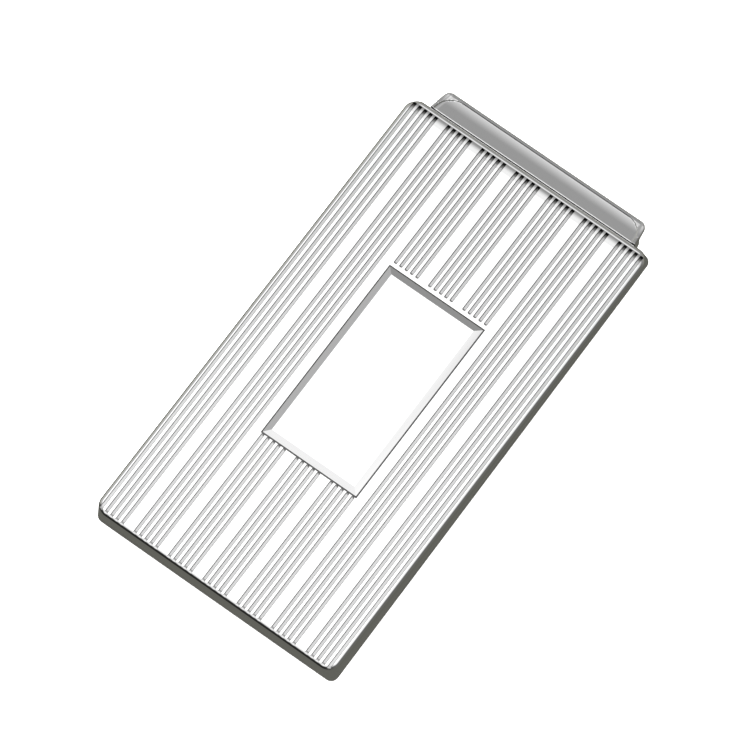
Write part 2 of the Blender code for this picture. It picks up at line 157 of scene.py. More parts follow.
world = bpy.data.worlds.new("light_tent")
world.use_nodes = True
bpy.context.scene.world = world
tent = world.node_tree
tent.nodes.clear()
direction = add_node(tent, "ShaderNodeTexCoord").outputs["Generated"]
axes = add_node(tent, "ShaderNodeSeparateXYZ", [(0, direction)])
to_x, to_y, to_z = axes.outputs

left_wall = ramp(tent, to_y, -0.35, -0.1, LEFT_WALL_FRONT, LEFT_WALL_BACK)
left_right = blend_values(tent, ramp(tent, to_x, -0.2, 0.2, 0.0, 1.0), left_wall, RIGHT_WALL)
front_back = ramp(tent, to_y, -0.5, 0.5, END_WALL_FRONT, END_WALL_BACK)
x_squared = math_of(tent, "MULTIPLY", to_x, to_x)
y_squared = math_of(tent, "MULTIPLY", to_y, to_y)
across = math_of(tent, "DIVIDE", x_squared, math_of(tent, "ADD", x_squared, y_squared))
walls = blend_values(tent, across, front_back, left_right)

roof = ramp(tent, to_y, 0.18, 0.36, ROOF_MIDDLE, ROOF_BACK, "LINEAR")
roof = math_of(tent, "MULTIPLY", roof, ramp(tent, to_x, 0.0, 0.34, 1.0, ROOF_RIGHT_SHARE))
roof = math_of(tent, "MULTIPLY", roof, ramp(tent, to_y, -0.30, 0.0, ROOF_FRONT_SHARE, 1.0))
room = blend_values(tent, ramp(tent, to_z, 0.60, 0.86, 0.0, 1.0), walls, roof)
level = blend_values(tent, ramp(tent, to_z, -0.22, -0.02, 1.0, 0.0), room, BELOW_TABLE)
warmth = blend_colours(tent, ramp(tent, to_z, -0.1, 0.6, 0.0, 1.0), LOW_TINT, HIGH_TINT)
glow = add_node(tent, "ShaderNodeBackground", [("Color", warmth), ("Strength", level)])
add_node(tent, "ShaderNodeOutputWorld", [("Surface", glow.outputs[0])])
print("light tent:", len(tent.nodes), "nodes")

# %% [markdown]
# The clip lies on a white table that curves up into a wall. Turning one profile about the upright
# axis makes table and wall in one piece. It is kept out of mirror reflections, as the dark front of
# the tent is what draws the clip's lower edges, and it glows a little so that it stays clean white.

# %% Floor
SWEEP_RADIUS = 1.3
SWEEP_CURVE = 0.3
SWEEP_HEIGHT = 0.9
CURVE_STEPS = 8

bm = bmesh.new()
outline = [Vector((0.0, 0.0, 0.0)), Vector((SWEEP_RADIUS - SWEEP_CURVE, 0.0, 0.0))]
for step in range(1, CURVE_STEPS + 1):
    angle = math.pi / 2 * step / CURVE_STEPS
    away = SWEEP_RADIUS - SWEEP_CURVE + SWEEP_CURVE * math.sin(angle)
    outline.append(Vector((away, 0.0, SWEEP_CURVE * (1 - math.cos(angle)))))
outline.append(Vector((SWEEP_RADIUS, 0.0, SWEEP_HEIGHT)))
profile = [bm.verts.new(point) for point in outline]
links = [bm.edges.new(pair) for pair in zip(profile, profile[1:])]
bmesh.ops.spin(
    bm, geom=profile + links, cent=Vector(), axis=UP, angle=math.tau, steps=64, use_merge=True
)
bmesh.ops.remove_doubles(bm, verts=bm.verts, dist=TINY)
bmesh.ops.recalc_face_normals(bm, faces=bm.faces)
if sum(face.normal.z for face in bm.faces) < 0:
    bmesh.ops.reverse_faces(bm, faces=bm.faces)
floor_mesh = bpy.data.meshes.new("white_table")
bm.to_mesh(floor_mesh)
bm.free()
floor_mesh.shade_smooth()

paper = bpy.data.materials.new("white_paper")
paper.use_nodes = True
paper_shader = paper.node_tree.nodes["Principled BSDF"]
paper_shader.inputs["Base Color"].default_value = (0.85, 0.85, 0.85, 1.0)
paper_shader.inputs["Roughness"].default_value = 0.9
paper_shader.inputs["Specular IOR Level"].default_value = 0.0
paper_shader.inputs["Emission Color"].default_value = (1.0, 1.0, 1.0, 1.0)
paper_shader.inputs["Emission Strength"].default_value = 0.8
floor_mesh.materials.append(paper)
floor = bpy.data.objects.new("white_table", floor_mesh)
bpy.context.scene.collection.objects.link(floor)
floor.visible_glossy = False
floor.visible_shadow = False
print("table reaches", SWEEP_RADIUS, "m")

# %% [markdown]
# One large round lamp overhead adds a soft highlight without a hard shadow. Mirrors do not see it,
# or it would show as a white disc in the plate.

# %% Soft key light
key_data = bpy.data.lights.new("overhead_softbox", "AREA")
key_data.shape = "DISK"
key_data.size = 0.5
key_data.energy = 4.0
key = bpy.data.objects.new("overhead_softbox", key_data)
key.location = (-0.1, 0.1, 0.6)
key.rotation_mode = "QUATERNION"
key.rotation_quaternion = key.location.to_track_quat("Z", "Y")
key.visible_glossy = False
bpy.context.scene.collection.objects.link(key)
print("softbox", key_data.size, "m across")

# %% [markdown]
# ## Finishes
# Bright nickel plate is a mirror with a faint cloudiness and hairlines from the polishing wheel.
# A plain metallic shader looks like computer chrome, so fine noise, stretched along the clip, moves
# its roughness and tilts its surface by a hair. The grooves keep the satin of the rolling tool: a
# stored value says how far each point lies in a groove, and the shader turns satin there. A second
# value paints shade into the colour: dark along the groove walls, in their ends and in the panel's seat.

# %% Helpers for metal finishes
def start_metal(name, colour):
    material = bpy.data.materials.new(name)
    material.use_nodes = True
    tree = material.node_tree
    shader = tree.nodes["Principled BSDF"]
    shader.inputs["Base Color"].default_value = (*colour, 1.0)
    shader.inputs["Metallic"].default_value = 1.0
    return material, tree, shader


def noise_at(tree, scale, detail=3.0):
    """Noise on the object's own coordinates, with its own scale along each axis, in grains per metre."""
    place = add_node(tree, "ShaderNodeTexCoord").outputs["Object"]
    stretched = add_node(tree, "ShaderNodeMapping", [("Vector", place), ("Scale", scale)])
    grain = add_node(
        tree, "ShaderNodeTexNoise", [("Vector", stretched.outputs[0]), ("Scale", 1.0), ("Detail", detail)]
    )
    return grain.outputs["Fac"]


def tilt_surface(tree, shader, height, distance):
    bump = add_node(tree, "ShaderNodeBump", [("Height", height), ("Distance", distance)])
    tree.links.new(bump.outputs[0], shader.inputs["Normal"])


# %% Polished plate
PLATE_COLOUR = (0.90, 0.90, 0.90)
SATIN_COLOUR = (0.62, 0.62, 0.62)
# painted shade: near-black colour for the groove walls, the groove ends and the panel's seat
PAINTED_SHADE_COLOUR = (0.04, 0.04, 0.04)
SATIN_ROUGHNESS = 0.32
POLISH_ROUGHNESS = (0.035, 0.075)
NOISE_MIDDLE = (0.3, 0.7)
CLOUD_SCALE = (300.0, 300.0, 300.0)
HAIRLINE_SCALE = (9000.0, 300.0, 9000.0)
HAIRLINE_LIFT = 2e-7


def polished_plate(name, grooved=False):
    material, tree, shader = start_metal(name, PLATE_COLOUR)
    cloud = noise_at(tree, CLOUD_SCALE)
    polish = ramp(tree, cloud, *NOISE_MIDDLE, *POLISH_ROUGHNESS, "LINEAR")
    if grooved:
        inside = add_node(tree, "ShaderNodeAttribute", attribute_name="groove").outputs["Fac"]
        polish = blend_values(tree, inside, polish, SATIN_ROUGHNESS)
        colour = blend_colours(tree, inside, (*PLATE_COLOUR, 1.0), (*SATIN_COLOUR, 1.0))
        # painted shade: a stored share darkens the colour along groove walls, in groove ends and in the
        # panel's seat
        painted_shade = add_node(tree, "ShaderNodeAttribute", attribute_name="painted_shade").outputs["Fac"]
        colour = blend_colours(tree, painted_shade, colour, (*PAINTED_SHADE_COLOUR, 1.0))
        tree.links.new(colour, shader.inputs["Base Color"])
    tree.links.new(polish, shader.inputs["Roughness"])
    tilt_surface(tree, shader, noise_at(tree, HAIRLINE_SCALE), HAIRLINE_LIFT)
    return material


cover_finish = polished_plate("polished_plate_grooved", grooved=True)
plate_finish = polished_plate("polished_plate")
print("finishes:", cover_finish.name, plate_finish.name)

# %% [markdown]
# ## Sheet parts
# Thin sheet parts all start the same way: a flat outline is pulled up into a plate, its upright
# edges are rounded, and then its rims are rolled. A few short helpers say this once. Writing the
# vertices by hand would work too, but the operators keep walls closed and facing outwards.

# %% Helpers for sheet parts
def box_outline(low, high):
    return [(low.x, low.y), (high.x, low.y), (high.x, high.y), (low.x, high.y)]


def plate_from(corners, low, high):
    """A plate with this outline of (x, y), between two heights."""
    bm = bmesh.new()
    face = bm.faces.new([bm.verts.new((x, y, low)) for x, y in corners])
    pulled = bmesh.ops.extrude_face_region(bm, geom=[face])
    lifted = [item for item in pulled["geom"] if isinstance(item, bmesh.types.BMVert)]
    bmesh.ops.translate(bm, vec=UP * (high - low), verts=lifted)
    bmesh.ops.recalc_face_normals(bm, faces=bm.faces)
    return bm


def bevel(bm, edges, width, segments):
    bmesh.ops.bevel(
        bm, geom=edges, offset=width, offset_type="OFFSET", segments=segments, profile=0.5,
        affect="EDGES", material=-1,
    )


def uprights_at(bm, x, y):
    """The upright edges at plus and minus x, at this y."""
    return [
        e for e in bm.edges
        if abs(e.verts[0].co.z - e.verts[1].co.z) > TINY
        and all(abs(abs(v.co.x) - x) < TINY and abs(v.co.y - y) < TINY for v in e.verts)
    ]


def edges_at_height(bm, z):
    return [e for e in bm.edges if all(abs(v.co.z - z) < TINY for v in e.verts)]


# %% Helper that finishes a piece
def finish_piece(name, bm, material, body, nodes, sharp_degrees=30.0):
    """Turns a bmesh into a piece that rides on a body and stands for some of the working nodes."""
    mesh = bpy.data.meshes.new(name)
    bm.to_mesh(mesh)
    bm.free()
    mesh.materials.append(material)
    mesh.shade_smooth()
    mesh.set_sharp_from_angle(angle=math.radians(sharp_degrees))
    piece = bpy.data.objects.new(name, mesh)
    bpy.context.scene.collection.objects.link(piece)
    if body:
        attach(piece, body)
    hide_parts(*nodes)
    print(f"{name}: {len(mesh.polygons)} faces")
    return piece


# %% [markdown]
# ## Front cover
# The cover is one pressed sheet: a flat face whose border rolls over into a rim, deeper at the hinge
# end. Pulling an outline into a block, rounding its corners and bevelling the upper border gives that
# skin. The grooves are scored as lines across it and then pressed down, much as the tool does it.

# %% Sizes of the cover
cover_low, cover_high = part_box("front_cover")
panel_low, panel_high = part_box("engraving_panel")
FACE_Z = cover_high.z
COVER_MIDDLE = (cover_low.y + cover_high.y) / 2
SHEET = 0.6 * MM
CORNER_RADIUS = 1.4 * MM
ROLL_RADIUS = 0.55 * MM
RIM_DEPTH_HINGE = FACE_Z - cover_low.z
RIM_DEPTH_FREE = 1.5 * MM
RIM_EDGE_ROUND = 0.12 * MM
CORNER_SEGMENTS = 10
ROLL_SEGMENTS = 10


def rim_edge_z(y):
    """Height of the rim's lower edge, which slopes up from the hinge end to the free end."""
    share = (y - cover_low.y) / (cover_high.y - cover_low.y)
    return FACE_Z - RIM_DEPTH_HINGE + share * (RIM_DEPTH_HINGE - RIM_DEPTH_FREE)


print("cover", [round(side / MM, 2) for side in cover_high - cover_low], "mm")

# %% Pull up the cover's skin
cover_bm = plate_from(box_outline(cover_low, cover_high), cover_low.z, FACE_Z)
for end_y in (cover_low.y, cover_high.y):
    bevel(cover_bm, uprights_at(cover_bm, cover_high.x, end_y), CORNER_RADIUS, CORNER_SEGMENTS)
bevel(cover_bm, edges_at_height(cover_bm, FACE_Z), ROLL_RADIUS, ROLL_SEGMENTS)
bevel(cover_bm, edges_at_height(cover_bm, cover_low.z), RIM_EDGE_ROUND, 3)
print("skin:", len(cover_bm.faces), "faces")

# %% [markdown]
# The grooves lie in seven groups of five. Each has steep walls and a nearly flat bottom, given here
# as half of its section: distance from the middle of the groove, and depth. The grooves that meet
# the engraving panel stop short of it in rounded ends.

# %% Where the grooves run
GROUPS = 7
GROOVES_PER_GROUP = 5
GROOVE_PITCH = 0.644 * MM
GROUP_PITCH = 4.10 * MM
GROOVE_SECTION = (
    (0.185 * MM, 0.0), (0.155 * MM, 0.075 * MM), (0.120 * MM, 0.103 * MM), (0.0, 0.112 * MM)
)
GROOVE_HALF, GROOVE_DEPTH = GROOVE_SECTION[0][0], GROOVE_SECTION[-1][1]
UPPER_MARGIN = 0.5 * MM
LOWER_MARGIN = 0.1 * MM
UPPER_END = panel_high.y + UPPER_MARGIN + GROOVE_HALF
LOWER_END = panel_low.y - LOWER_MARGIN - GROOVE_HALF

groove_centres = [
    (group - (GROUPS - 1) / 2) * GROUP_PITCH + (line - (GROOVES_PER_GROUP - 1) / 2) * GROOVE_PITCH
    for group in range(GROUPS) for line in range(GROOVES_PER_GROUP)
]


def groove_depth(offset):
    """Depth of a groove at this distance from its middle line."""
    for (outer, shallow), (inner, deep) in zip(GROOVE_SECTION, GROOVE_SECTION[1:]):
        if inner <= offset < outer:
            return shallow + (outer - offset) / (outer - inner) * (deep - shallow)
    return 0.0


print(len(groove_centres), "grooves, the outermost at", round(groove_centres[-1] / MM, 2), "mm")

# %% [markdown]
# A face can only be pressed into shape where it has points, so it is scored first: lengthwise
# along every groove's section, and across at each place where the grooves or the face change. At the
# lip end every groove closes in a small deeper drop, where the tool was lifted out, and the face
# itself falls away gently before its border. At the hinge end the grooves fade at the border.

# %% Helper that scores a face
def cut_lines(bm, faces, axis, places):
    """Scores these faces along planes square to axis, so that they can be pressed into shape there."""
    for place in places:
        faces = [face for face in faces if face.is_valid]
        edges = {edge for face in faces for edge in face.edges}
        verts = {vert for face in faces for vert in face.verts}
        scored = bmesh.ops.bisect_plane(
            bm, geom=[*verts, *edges, *faces], dist=TINY, plane_co=axis * place, plane_no=axis
        )
        faces = [item for item in scored["geom"] if isinstance(item, bmesh.types.BMFace)]
    return faces


# %% Score the cover's face
FACE_END = cover_high.y - ROLL_RADIUS
FALL_LENGTH = 1.1 * MM
FALL_ROWS = (0.0, 0.3, 0.45, 0.6, 0.8, 0.9, 1.0)
DROP_LENGTH = 0.65 * MM
DROP_END = FACE_END - 0.02 * MM
DROP_ROWS = (0.0, 0.04, 0.1, 0.2, 0.35, 0.55, 0.8, 1.0)
FADE_START = 0.55 * ROLL_RADIUS
FADE_END = 1.2 * ROLL_RADIUS
FADE_ROWS = (1.05, 1.12, 1.2)
RECESS_GAP = 0.12 * MM
RECESS_WALL = 0.02 * MM

offsets = [half for half, depth in GROOVE_SECTION]
columns = sorted({centre + side * half for centre in groove_centres for half in offsets for side in (-1, 1)})
rows = [UPPER_END - half for half in offsets] + [LOWER_END + half for half in offsets]
rows += [DROP_END - share * DROP_LENGTH for share in DROP_ROWS]
rows += [FACE_END - share * FALL_LENGTH for share in FALL_ROWS]
rows += [cover_low.y + share * ROLL_RADIUS for share in FADE_ROWS]
for gap in (RECESS_GAP, RECESS_GAP - RECESS_WALL):
    columns += [panel_low.x - gap, panel_high.x + gap]
    rows += [panel_low.y - gap, panel_high.y + gap]
skin = [f for f in cover_bm.faces if f.calc_center_median().z > FACE_Z - ROLL_RADIUS]
skin = cut_lines(cover_bm, skin, ALONG_X, sorted(columns))
skin = cut_lines(cover_bm, skin, ALONG_Y, sorted(rows))
print("scored skin:", len(skin), "faces")

# %% [markdown]
# Pressing is now a matter of height alone. One function says how deep the tool goes at a point, and
# the loop lowers each point of the skin by it. The loop also stores how far the point lies in a
# groove and how much painted shade it gets, for the finish to read: most on the walls and in the
# drops, and more towards the lip.

# %% How deep the tool goes
DROP_DEEPER = 0.13 * MM
DROP_LEAD = 0.1 * DROP_LENGTH


def smooth_share(value, start, end):
    """0 before start, 1 after end, and an easy curve between them."""
    share = min(max((value - start) / (end - start), 0.0), 1.0)
    return share * share * (3 - 2 * share)


def lifted_share(y):
    """How far the tool is on its way out at the lip end: 0 along the groove, 1 in the drop."""
    return 1 - smooth_share(DROP_END - y, DROP_LEAD, DROP_LENGTH)


def pressed_depth(x, y, centre):
    """Depth at a point, in the groove with this middle line."""
    if DROP_END - y < TINY:
        return 0.0
    short_of_end = 0.0
    if abs(centre) < panel_high.x and abs(y - COVER_MIDDLE) < UPPER_END - COVER_MIDDLE:
        short_of_end = UPPER_END - y if y > COVER_MIDDLE else y - LOWER_END
    depth = groove_depth(math.hypot(x - centre, max(short_of_end, 0.0)))
    depth += DROP_DEEPER * lifted_share(y) * depth / GROOVE_DEPTH
    depth *= smooth_share(DROP_END - y, 0.0, DROP_LEAD)
    return depth * smooth_share(y - cover_low.y, FADE_START, FADE_END)


print("deepest in the drop:", round((GROOVE_DEPTH + DROP_DEEPER) / MM, 3), "mm")

# %% Press the grooves and the panel's seat
FALL_SLOPE = math.tan(math.radians(20))
RECESS_DEPTH = 0.25 * MM
# shares of painted shade: on groove walls and groove floors (least and most), and in the panel's seat
WALL_SHADE = (0.35, 0.85)
FLOOR_SHADE = (0.02, 0.20)
SEAT_SHADE = 0.8
WALL_OFFSET, WALL_DEPTH = GROOVE_SECTION[1]
groove_layer = cover_bm.verts.layers.float.new("groove")
painted_shade_layer = cover_bm.verts.layers.float.new("painted_shade")


def over_panel(co, gap):
    inside_x = panel_low.x - gap - TINY < co.x < panel_high.x + gap + TINY
    return inside_x and panel_low.y - gap - TINY < co.y < panel_high.y + gap + TINY


for vert in {vert for face in skin for vert in face.verts}:
    co = vert.co
    if over_panel(co, RECESS_GAP - RECESS_WALL):
        co.z -= RECESS_DEPTH
        vert[groove_layer] = 1.0
        # painted shade in the seat's hairline gap
        vert[painted_shade_layer] = SEAT_SHADE
        continue
    centre = min(groove_centres, key=lambda middle: abs(middle - co.x))
    depth = pressed_depth(co.x, co.y, centre)
    in_groove = smooth_share(depth, 0.0, WALL_DEPTH)
    on_wall = abs(abs(co.x - centre) - WALL_OFFSET) < TINY
    least, most = WALL_SHADE if on_wall else FLOOR_SHADE
    near_lip = smooth_share(co.y, cover_low.y, cover_high.y)
    vert[groove_layer] = in_groove
    # painted shade, filling the drops and growing towards the lip
    vert[painted_shade_layer] = in_groove * max(lifted_share(co.y), least + (most - least) * near_lip)
    eased_down = min(max(co.y - (FACE_END - FALL_LENGTH), 0.0), FALL_LENGTH)
    co.z -= depth + FALL_SLOPE * eased_down**2 / (2 * FALL_LENGTH)
print("pressed", GROOVE_DEPTH / MM, "mm deep")

# %% [markdown]
# The block becomes a tray when its underside is inset and pushed up to form the roof, which leaves
# the same wall all round. Then the rim's lower edge is lifted, and more so towards the lip end.

# %% Hollow the cover and slope its rim
underside = min(cover_bm.faces, key=lambda face: face.calc_center_median().z)
bmesh.ops.inset_region(
    cover_bm, faces=[underside], thickness=SHEET - RIM_EDGE_ROUND, use_even_offset=True
)
raised = bmesh.ops.extrude_face_region(cover_bm, geom=[underside])
bmesh.ops.delete(cover_bm, geom=[underside], context="FACES_ONLY")
roof = [item for item in raised["geom"] if isinstance(item, bmesh.types.BMVert)]
bmesh.ops.translate(cover_bm, vec=UP * (RIM_DEPTH_HINGE - SHEET), verts=roof)
for vert in cover_bm.verts:
    if vert.co.z < cover_low.z + RIM_EDGE_ROUND + TINY:
        vert.co.z += rim_edge_z(vert.co.y) - cover_low.z
print("rim depth from", round(RIM_DEPTH_HINGE / MM, 2), "to", round(RIM_DEPTH_FREE / MM, 2), "mm")

# %% [markdown]
# The press leaves the rim's corners tighter at their lower edge than at the face, because the sheet is
# drawn into the corner as it folds. So the lower corner points slide out towards a smaller radius.

# %% Tighten the rim's lower corners
CORNER_TIGHTER = 0.6 * MM
TIGHT_BELOW = FACE_Z - 1.2 * MM

corner_x = cover_high.x - CORNER_RADIUS
corner_y = (cover_high.y - cover_low.y) / 2 - CORNER_RADIUS
for vert in cover_bm.verts:
    past_x = abs(vert.co.x) - corner_x
    past_y = abs(vert.co.y - COVER_MIDDLE) - corner_y
    from_corner = math.hypot(past_x, past_y)
    if min(past_x, past_y) > -TINY and from_corner > CORNER_TIGHTER and vert.co.z < TIGHT_BELOW:
        kept = 1 - CORNER_TIGHTER / from_corner
        new_x = corner_x + CORNER_TIGHTER + past_x * kept
        new_y = corner_y + CORNER_TIGHTER + past_y * kept
        vert.co.x = math.copysign(new_x, vert.co.x)
        vert.co.y = COVER_MIDDLE + math.copysign(new_y, vert.co.y - COVER_MIDDLE)
finish_piece(
    "front_cover_shell", cover_bm, cover_finish, "cover_assembly", ["front_cover"], 20.0
)

# %% [markdown]
# ## Engraving panel
# The plain panel is a thin plaque with mitred bevels on its four sides, set in a seat in the face
# with a hairline gap. An inset of the upper face, lowered along its border, makes the mitres in one
# step. Rounding only the inner crease gives the soft line where the bevel meets the flat.

# %% Build the panel
PANEL_FOOT_LIFT = 0.02 * MM
PANEL_FOOT_Z = FACE_Z - RECESS_DEPTH + PANEL_FOOT_LIFT
PANEL_BEVEL = 0.8 * MM
PANEL_BEVEL_DROP = 0.25 * MM
PANEL_CREASE = 0.12 * MM
PANEL_CORNER = 0.08 * MM
PANEL_BORDER = 0.03 * MM

panel_bm = plate_from(box_outline(panel_low, panel_high), PANEL_FOOT_Z, panel_high.z)
top = max(panel_bm.faces, key=lambda face: face.calc_center_median().z)
bmesh.ops.inset_region(panel_bm, faces=[top], thickness=PANEL_BEVEL, use_even_offset=True)
for vert in panel_bm.verts:
    if vert.co.z > panel_high.z - TINY and vert not in top.verts:
        vert.co.z -= PANEL_BEVEL_DROP
bevel(panel_bm, list(top.edges), PANEL_CREASE, 4)
for end_y in (panel_low.y, panel_high.y):
    bevel(panel_bm, uprights_at(panel_bm, panel_high.x, end_y), PANEL_CORNER, 3)
bevel(panel_bm, edges_at_height(panel_bm, panel_high.z - PANEL_BEVEL_DROP), PANEL_BORDER, 2)
finish_piece(
    "engraving_plaque", panel_bm, plate_finish, "cover_assembly", ["engraving_panel"], 9.0
)

# %% [markdown]
# ## Sprung arm
# The arm is a springy blade: flat at the heel, then bent up until its crest meets the liner. Past the
# cover's end it is pressed up into a lip for the finger, dished inside a narrow raised rim.
# A flat blade is cut out and scored, then each scored line is lifted to its height, upper and lower
# skin alike, so the blade keeps its thickness and its rounded edges.

# %% Side view of the arm
arm_low, arm_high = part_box("clip_arm")
pin_low, pin_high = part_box("hinge_pin")
PIVOT = Vector((0.0, (pin_low.y + pin_high.y) / 2, (pin_low.z + pin_high.z) / 2))
ARM_HALF = arm_high.x
ARM_THICKNESS = 0.8 * MM
CREST_Y = cover_high.y - 5.0 * MM
BEND_START = CREST_Y - 14.0 * MM
CREST_Z = 3.25 * MM
TURN_Y = cover_high.y - SHEET
TURN_Z = 3.08 * MM
FOOT_Y = cover_high.y + 0.05 * MM
LIP_ROOT_Z = 4.3 * MM
LIP_ROUND = 0.06 * MM
LIP_SLOPE = math.radians(17)
LIP_END = arm_high.y
UNDER_FOOT_Y = FOOT_Y + ARM_THICKNESS
UNDER_ROUND = 0.3 * MM
UNDER_SLOPE = math.radians(12)
LIP_EDGE = 0.35 * ARM_THICKNESS


def eased(low, high, share):
    return low + (high - low) * (1 - math.cos(math.pi * share)) / 2


def blade_top(y):
    """Height of the blade's upper skin, heel to lip, before the lip is dished."""
    if y <= BEND_START:
        return ARM_THICKNESS
    if y <= CREST_Y:
        return eased(ARM_THICKNESS, CREST_Z, (y - BEND_START) / (CREST_Y - BEND_START))
    if y <= TURN_Y:
        return eased(CREST_Z, TURN_Z, (y - CREST_Y) / (TURN_Y - CREST_Y))
    if y < FOOT_Y - TINY:
        return TURN_Z
    from_edge = max(LIP_ROUND - (y - FOOT_Y), 0.0)
    rounded = LIP_ROUND - math.sqrt(LIP_ROUND**2 - from_edge**2)
    return LIP_ROOT_Z - rounded - max(y - FOOT_Y - LIP_ROUND, 0.0) * math.tan(LIP_SLOPE)


print("blade heights:", [round(blade_top(y * MM) / MM, 2) for y in (-20, 10, 19.7, 24.7, 27)])

# %% [markdown]
# The lip is dished so that a fingertip finds it. Its floor eases off in a band towards the tip, rises
# in a small cove at each side, and ends at a narrow rim. As the blade will be bent by height, the
# dish is one more height to add, and the lower skin follows with the sheet's thickness.

# %% Dish of the lip
LIP_ROOT_HALF = 12.3 * MM
LIP_TIP_HALF = 11.9 * MM
BAND_WIDTH = 1.05 * MM
BAND_SLOPE = math.radians(12)
BAND_EASE = math.tan(LIP_SLOPE) - math.tan(BAND_SLOPE)
COVE_RADIUS = 0.9 * MM
COVE_ANGLE = math.radians(24)
COVE_WIDTH = COVE_RADIUS * math.sin(COVE_ANGLE)
RIM_WIDTH = 0.4 * MM
RIM_STEP = 0.12 * MM
RIM_STEP_WIDTH = 0.06 * MM
DISH_CORNER = 1.6 * MM


def dish_rise(x, y):
    """How far the lip rises above its slope: the easier band, the side coves, then the raised rim."""
    if y < FOOT_Y:
        return 0.0
    to_side = LIP_ROOT_HALF - RIM_WIDTH - abs(x)
    to_end = LIP_END - RIM_WIDTH - y
    inside = min(to_side, to_end)
    if to_side < DISH_CORNER and to_end < DISH_CORNER:
        inside = DISH_CORNER - math.hypot(DISH_CORNER - to_side, DISH_CORNER - to_end)
    rise = BAND_EASE * min(max(BAND_WIDTH - to_end, 0.0), BAND_WIDTH) ** 2 / (2 * BAND_WIDTH)
    climbed = min(max(COVE_WIDTH - to_side, 0.0), COVE_WIDTH)
    side_rise = COVE_RADIUS - math.sqrt(COVE_RADIUS**2 - climbed**2)
    side_rise += RIM_STEP * smooth_share(-inside, 0.0, RIM_STEP_WIDTH)
    return rise + side_rise * smooth_share(y, FOOT_Y, FOOT_Y + LIP_ROUND)


def blade_bottom(y):
    """Height of the blade's lower skin."""
    step = 0.1 * MM
    slope = math.atan2(blade_top(y + step) - blade_top(y - step), 2 * step)
    if y <= TURN_Y:
        return blade_top(y) - ARM_THICKNESS / math.cos(slope)
    under_lip = blade_top(LIP_END) - LIP_EDGE + (LIP_END - y) * math.tan(UNDER_SLOPE)
    before = UNDER_FOOT_Y - y
    if before > 0:
        in_round = max(UNDER_ROUND - before, 0.0)
        return TURN_Z - ARM_THICKNESS + UNDER_ROUND - math.sqrt(UNDER_ROUND**2 - in_round**2)
    in_round = max(UNDER_ROUND + before, 0.0)
    return under_lip - UNDER_ROUND + math.sqrt(UNDER_ROUND**2 - in_round**2)


print("rim stands", RIM_STEP / MM, "mm above the dish")

# %% [markdown]
# The blank is cut flat: full width from the heel to just short of the cover's end, then a little
# narrower for the lip. Its corners are rounded first, and its upper and lower edges after them.

# %% Cut out the blade
SHOULDER_Y = TURN_Y
HEEL_CORNER = 0.8 * MM
SHOULDER_CORNER = 0.2 * MM
LIP_ROOT_CORNER = 0.5 * MM
LIP_TIP_CORNER = 0.7 * MM
BLADE_EDGE_ROUND = 0.16 * MM

blank = (
    (ARM_HALF, arm_low.y, HEEL_CORNER), (ARM_HALF, SHOULDER_Y, SHOULDER_CORNER),
    (LIP_ROOT_HALF, SHOULDER_Y, LIP_ROOT_CORNER), (LIP_ROOT_HALF, LIP_END, LIP_TIP_CORNER),
)
corners = [(x, y) for x, y, radius in blank] + [(-x, y) for x, y, radius in reversed(blank)]
arm_bm = plate_from(corners, 0.0, ARM_THICKNESS)
for x, y, radius in blank:
    bevel(arm_bm, uprights_at(arm_bm, x, y), radius, 8)
for height in (0.0, ARM_THICKNESS):
    bevel(arm_bm, edges_at_height(arm_bm, height), BLADE_EDGE_ROUND, 4)
print("blank:", len(arm_bm.faces), "faces")

# %% [markdown]
# The blade is scored across wherever it bends, closer where it bends sharply, and lengthwise where
# the lip is dished. Then each point is lifted to its height, and the lip is drawn in towards its tip.

# %% Score and bend the blade
BEND_STEP = 0.5 * MM
FINE_STEP = 0.01 * MM
LIP_STEP = 0.05 * MM
ROUND_STEP = 0.03 * MM
DISH_STEP = 0.04 * MM
RIM_ROWS_STEP = 0.02 * MM
RIM_ROWS_LENGTH = 0.1 * MM
CORNER_STEP = 0.1 * MM
RIM_COLUMNS_WIDTH = 0.08 * MM


def spaced(start, end, step):
    count = round((end - start) / step)
    return [start + (end - start) * share / count for share in range(count + 1)]


rows = spaced(BEND_START, CREST_Y, BEND_STEP) + spaced(CREST_Y, TURN_Y, BEND_STEP)[1:]
rows += [FOOT_Y - FINE_STEP] + spaced(FOOT_Y, FOOT_Y + LIP_ROUND, FINE_STEP)
rows += spaced(FOOT_Y + LIP_ROUND, UNDER_FOOT_Y - UNDER_ROUND, LIP_STEP)[1:]
rows += spaced(UNDER_FOOT_Y - UNDER_ROUND, UNDER_FOOT_Y - FINE_STEP, ROUND_STEP)[1:]
rows += spaced(UNDER_FOOT_Y + FINE_STEP, UNDER_FOOT_Y + UNDER_ROUND, ROUND_STEP)
rows += spaced(UNDER_FOOT_Y + UNDER_ROUND, LIP_END - RIM_WIDTH, DISH_STEP)[1:]
rows += spaced(LIP_END - RIM_WIDTH, LIP_END - RIM_WIDTH + RIM_ROWS_LENGTH, RIM_ROWS_STEP)[1:]
dish_side = LIP_ROOT_HALF - RIM_WIDTH
columns = spaced(dish_side - DISH_CORNER, dish_side - COVE_WIDTH, CORNER_STEP)
columns += spaced(dish_side - COVE_WIDTH, dish_side + RIM_COLUMNS_WIDTH, DISH_STEP)[1:]
cut_lines(arm_bm, arm_bm.faces[:], ALONG_X, sorted(columns + [-x for x in columns]))
cut_lines(arm_bm, arm_bm.faces[:], ALONG_Y, rows)
for vert in arm_bm.verts:
    x, y, z = vert.co
    low = blade_bottom(y)
    vert.co.z = low + z / ARM_THICKNESS * (blade_top(y) + dish_rise(x, y) - low)
    taper = max(y - FOOT_Y, 0.0) / (LIP_END - FOOT_Y)
    vert.co.x *= 1 + taper * (LIP_TIP_HALF / LIP_ROOT_HALF - 1)
print("blade:", len(arm_bm.faces), "faces")

